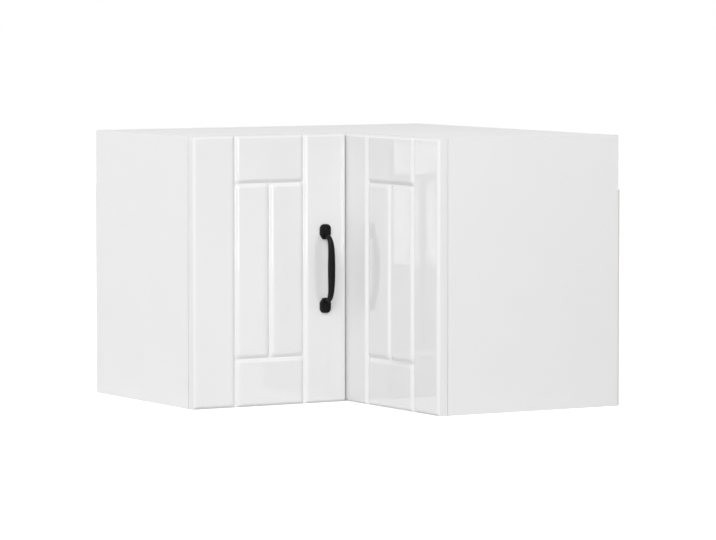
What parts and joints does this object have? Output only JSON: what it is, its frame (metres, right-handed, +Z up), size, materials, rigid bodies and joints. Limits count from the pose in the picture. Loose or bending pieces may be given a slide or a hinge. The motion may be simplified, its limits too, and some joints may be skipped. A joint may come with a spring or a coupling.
{
  "type": "corner wall cabinet",
  "caption": "L-shaped corner wall cabinet with two framed leaves that fold together and swing from one end panel, a black bow handle and a shelf",
  "frame": {"origin": "middle of the bounding box in plan, at the underside", "axes": "+Z up; the room walls lie at +Y behind the left arm and at +X behind the right arm; the leaves face -Y and -X"},
  "size_m": [0.573, 0.573, 0.4],
  "materials": {
    "white_board": "white melamine faced board with white edging",
    "gloss_front": "white high-gloss foil moulded over a routed board",
    "fibre_back": "thin hardboard, white lacquered inside, with a pale brown edge",
    "black_iron": "black satin casting",
    "steel": "nickel plated pressed steel",
    "cast_zinc": "die-cast zinc",
    "dowel_wood": "beech, fluted",
    "clear_rubber": "soft clear bumper"
  },
  "bodies": {
    "carcass": {"left_end_panel": "white_board", "right_end_panel": "white_board", "bottom_board": "white_board", "top_board": "white_board", "left_hanging_rail": "white_board", "right_hanging_rail": "white_board", "left_back_panel": "fibre_back", "right_back_panel": "fibre_back", "rear_corner_post": "white_board", "shelf": "white_board", "shelf_pins": "steel", "cam_locks": "cast_zinc", "cam_bolts": "steel", "dowels": "dowel_wood", "back_nails": "steel", "leaf_bumpers": "clear_rubber", "plate_screws": "steel", "clamp_screws": "steel", "lower_hinge_arm": "steel", "upper_hinge_arm": "steel", "lower_hinge_plate": "steel", "upper_hinge_plate": "steel"},
    "hinge_links": {"lower_hinge_link": "steel", "upper_hinge_link": "steel", "hinge_arm_pins": "steel", "hinge_cup_pins": "steel"},
    "left_leaf": {"left_leaf": "gloss_front", "handle": "black_iron", "handle_screws": "steel", "cup_screws": "steel", "fold_screws_left": "steel", "lower_hinge_cup": "steel", "upper_hinge_cup": "steel", "lower_fold_wing_left": "steel", "upper_fold_wing_left": "steel"},
    "right_leaf": {"right_leaf": "gloss_front", "fold_screws_right": "steel", "fold_pins": "steel", "lower_fold_wing_right": "steel", "upper_fold_wing_right": "steel"}
  },
  "joints": [
    {"name": "hinge_link_swing", "type": "hinge", "parent": "carcass", "child": "hinge_links", "pos_m": [-0.2555, -0.0005, 0.2], "axis": [0, 0, -1], "range_deg": [-37, 0]},
    {"name": "left_leaf_swing", "type": "hinge", "parent": "hinge_links", "child": "left_leaf", "pos_m": [-0.2777, -0.0141, 0.2], "axis": [0, 0, -1], "range_deg": [0, 148]},
    {"name": "right_leaf_fold", "type": "hinge", "parent": "left_leaf", "child": "right_leaf", "pos_m": [-0.0055, -0.0055, 0.2], "axis": [0, 0, 1], "range_deg": [0, 74]}
  ],
  "couplings": [
    {"joint": "left_leaf_swing", "follows": "right_leaf_fold", "ratio": 2},
    {"joint": "hinge_link_swing", "follows": "right_leaf_fold", "ratio": -0.5}
  ]
}
